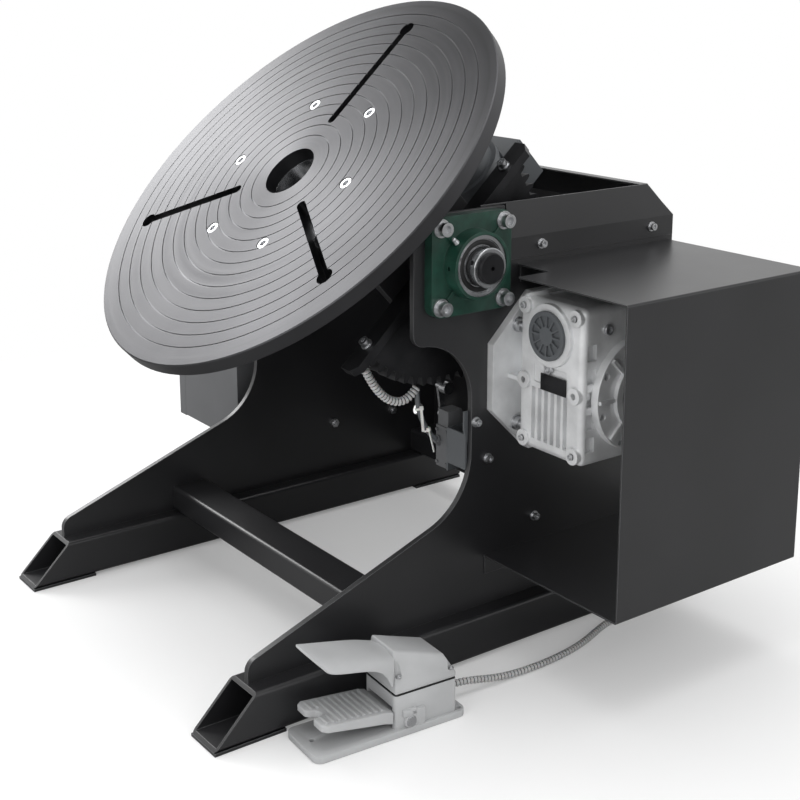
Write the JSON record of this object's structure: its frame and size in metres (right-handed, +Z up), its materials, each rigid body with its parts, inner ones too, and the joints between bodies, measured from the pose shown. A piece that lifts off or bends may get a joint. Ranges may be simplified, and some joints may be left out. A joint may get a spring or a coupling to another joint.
{
  "type": "welding positioner",
  "caption": "Tilting and turning welding table on a sheet-steel stand with worm gearbox, sector gear, guards, control box and foot pedal.",
  "frame": {"origin": "on the floor under the middle of the whole machine", "axes": "+X to the machine's drive side, +Y to its rear, away from the tilting side, +Z up"},
  "size_m": [1.081, 0.82, 0.8703],
  "materials": {
    "black_powder_coat": "semi-gloss powder coat",
    "zinc_steel": "zinc plated",
    "bright_steel": "ground",
    "table_steel": "turned face with grooves",
    "cast_aluminium": "shot-blasted die casting",
    "grey_paint": "satin light-grey paint",
    "dark_steel": "blackened steel",
    "motor_paint": "satin grey paint",
    "black_rubber": "matte",
    "grey_plastic": "corrugated sleeve"
  },
  "bodies": {
    "frame": {"bearing_bolts": "bright_steel", "control_box": "grey_paint", "control_box_bolts": "zinc_steel", "control_box_spacers": "zinc_steel", "drive_cover": "black_powder_coat", "foot_pads": "black_powder_coat", "front_cross_tube": "black_powder_coat", "gearbox_flange_bolts": "zinc_steel", "gearbox_housing": "cast_aluminium", "gearbox_output_flange": "cast_aluminium", "gearbox_side_cover": "cast_aluminium", "gearbox_worm_cap": "dark_steel", "left_bearing_housing": "bright_steel", "left_bearing_outer_ring": "bright_steel", "left_foot_tube": "black_powder_coat", "left_guard_wing": "black_powder_coat", "left_side_plate": "black_powder_coat", "limit_switch_body": "cast_aluminium", "limit_switch_bracket": "zinc_steel", "panel_screws": "zinc_steel", "pedal_base": "grey_paint", "pedal_cable": "black_rubber", "pedal_cover": "grey_paint", "pedal_gasket": "black_rubber", "pedal_gland": "black_rubber", "rear_cross_tube": "black_powder_coat", "rear_guard": "black_powder_coat", "right_bearing_housing": "bright_steel", "right_bearing_outer_ring": "bright_steel", "right_foot_tube": "black_powder_coat", "right_guard_wing": "black_powder_coat", "right_side_plate": "black_powder_coat", "switch_cable": "black_rubber", "tilt_conduit": "grey_plastic", "tilt_motor": "motor_paint", "tilt_motor_terminal_box": "motor_paint", "treadle_pin": "zinc_steel"},
    "tilt": {"right_stub_shaft": "bright_steel", "left_stub_shaft": "bright_steel", "right_bearing_inner_ring": "bright_steel", "left_bearing_inner_ring": "bright_steel", "right_tilt_arm": "black_powder_coat", "left_tilt_arm": "black_powder_coat", "table_carrier": "black_powder_coat", "sector_gear": "dark_steel", "sector_bolts": "zinc_steel", "trip_bars": "dark_steel", "trip_screws": "zinc_steel", "slewing_ring": "bright_steel", "table_gearmotor": "motor_paint"},
    "table": {"table": "table_steel", "table_hub": "bright_steel", "table_screws": "zinc_steel"},
    "tilt_pinion": {"tilt_pinion": "bright_steel", "tilt_output_shaft": "bright_steel"},
    "table_pinion": {"table_pinion": "bright_steel"},
    "treadle": {"treadle": "grey_paint"},
    "switch_lever": {"limit_switch_lever": "bright_steel"},
    "box_door": {"control_box_door": "grey_paint"},
    "box_lock": {"control_box_lock": "bright_steel"}
  },
  "joints": [
    {"name": "tilt", "type": "hinge", "parent": "frame", "child": "tilt", "pos_m": [0.0035, -0.014, 0.55], "axis": [1, 0, 0], "range_deg": [-43, 47]},
    {"name": "table_turn", "type": "hinge", "parent": "tilt", "child": "table", "pos_m": [0.0035, -0.09243, 0.63411], "axis": [0, -0.682, 0.7314], "continuous": true},
    {"name": "tilt_pinion_turn", "type": "hinge", "parent": "frame", "child": "tilt_pinion", "pos_m": [0.2305, 0.13604, 0.3891], "axis": [1, 0, 0], "range_deg": [-165, 150]},
    {"name": "table_pinion_turn", "type": "hinge", "parent": "tilt", "child": "table_pinion", "pos_m": [0.12433, 0.02897, 0.7227], "axis": [0, -0.682, 0.7314], "continuous": true},
    {"name": "treadle_press", "type": "hinge", "parent": "frame", "child": "treadle", "pos_m": [0.36896, -0.18705, 0.017], "axis": [0.9976, -0.0698, 0], "range_deg": [0, 6], "stiffness_Nm_per_rad": 6, "springref_deg": -8.59},
    {"name": "switch_lever_swing", "type": "hinge", "parent": "frame", "child": "switch_lever", "pos_m": [0.2155, 0.01285, 0.32041], "axis": [1, 0, 0], "range_deg": [-30, 0], "stiffness_Nm_per_rad": 0.2},
    {"name": "box_door_swing", "type": "hinge", "parent": "frame", "child": "box_door", "pos_m": [-0.507, 0.392, 0.317], "axis": [0, 0, -1], "range_deg": [0, 120]},
    {"name": "box_lock_turn", "type": "hinge", "parent": "box_door", "child": "box_lock", "pos_m": [-0.513, 0.016, 0.317], "axis": [1, 0, 0], "range_deg": [0, 90]}
  ],
  "couplings": [
    {"joint": "tilt_pinion_turn", "follows": "tilt", "ratio": -3.4},
    {"joint": "table_pinion_turn", "follows": "table_turn", "ratio": -4.0526}
  ]
}
